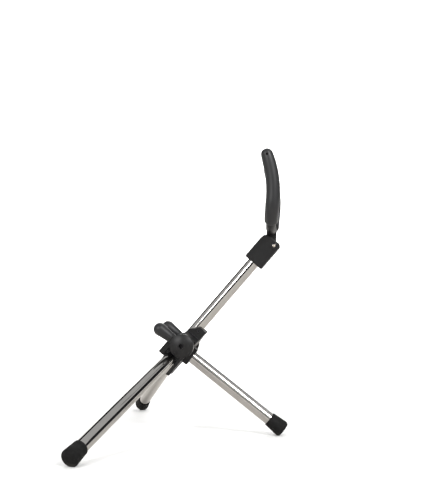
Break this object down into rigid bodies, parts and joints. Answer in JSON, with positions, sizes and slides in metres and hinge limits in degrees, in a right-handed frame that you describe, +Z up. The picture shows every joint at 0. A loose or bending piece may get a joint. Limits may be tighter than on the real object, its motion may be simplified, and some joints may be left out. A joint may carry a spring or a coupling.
{
  "type": "folding saxophone stand",
  "caption": "Low folding tripod stand for a saxophone: scissor hub, leaning post with a padded U-shaped bell yoke, and a two-prong cradle for the bow.",
  "frame": {"origin": "on the floor, under the middle of the stand's bounding box", "axes": "+Z up, +X from the front legs towards the rear foot and the post's lean, +Y towards the stand's right side; the stand is symmetric about the XZ plane"},
  "size_m": [0.1788, 0.3228, 0.2717],
  "materials": {
    "chromed_tube": "bright chrome plating on drawn steel tube",
    "moulded_plastic": "black moulded plastic, satin",
    "foot_rubber": "black moulded rubber, matt",
    "sleeve_rubber": "black rubber sleeve, satin",
    "rivet_steel": "nickel-plated rivet head",
    "screw_steel": "blackened or plain steel fastener",
    "washer_nylon": "black nylon washer"
  },
  "bodies": {
    "frame": {"hub_body": "moulded_plastic", "hub_cover_left": "moulded_plastic", "hub_cover_right": "moulded_plastic", "cover_screws": "screw_steel", "post_tube": "chromed_tube", "post_insert": "moulded_plastic", "post_rivet": "screw_steel", "leg_hinge_pins": "screw_steel", "leg_hinge_washers": "washer_nylon", "bracket_shell_left": "moulded_plastic", "bracket_shell_right": "moulded_plastic", "bracket_screws": "screw_steel", "yoke_pin": "rivet_steel"},
    "front_left_leg": {"front_left_leg_eye": "moulded_plastic", "front_left_leg_tube": "chromed_tube", "front_left_leg_rivet": "rivet_steel", "front_left_leg_cap": "foot_rubber"},
    "front_right_leg": {"front_right_leg_eye": "moulded_plastic", "front_right_leg_tube": "chromed_tube", "front_right_leg_rivet": "rivet_steel", "front_right_leg_cap": "foot_rubber"},
    "rear_leg": {"rear_leg_socket": "moulded_plastic", "rear_leg_tube": "chromed_tube", "rear_leg_rivet": "rivet_steel", "rear_leg_cap": "foot_rubber", "pivot_axle": "screw_steel", "cradle_arm_left": "moulded_plastic", "cradle_arm_right": "moulded_plastic", "prong_rod_left": "screw_steel", "prong_rod_right": "screw_steel", "prong_sleeve_left": "sleeve_rubber", "prong_sleeve_right": "sleeve_rubber", "axle_screws": "screw_steel", "axle_washers": "washer_nylon"},
    "yoke": {"yoke_frame": "moulded_plastic", "yoke_sleeve_left": "sleeve_rubber", "yoke_sleeve_right": "sleeve_rubber"}
  },
  "joints": [
    {"name": "front_left_leg_fold", "type": "hinge", "parent": "frame", "child": "front_left_leg", "pos_m": [-0.02085, -0.013, 0.07739], "axis": [0.7559, 0, -0.6547], "range_deg": [0, 56.9]},
    {"name": "front_right_leg_fold", "type": "hinge", "parent": "frame", "child": "front_right_leg", "pos_m": [-0.02085, 0.013, 0.07739], "axis": [-0.7559, 0, 0.6547], "range_deg": [0, 56.9]},
    {"name": "rear_leg_fold", "type": "hinge", "parent": "frame", "child": "rear_leg", "pos_m": [-0.01049, 0, 0.08691], "axis": [0, 1, 0], "range_deg": [0, 86]},
    {"name": "yoke_fold", "type": "hinge", "parent": "frame", "child": "yoke", "pos_m": [0.07726, 0, 0.18302], "axis": [0, 1, 0], "range_deg": [0, 180]}
  ]
}
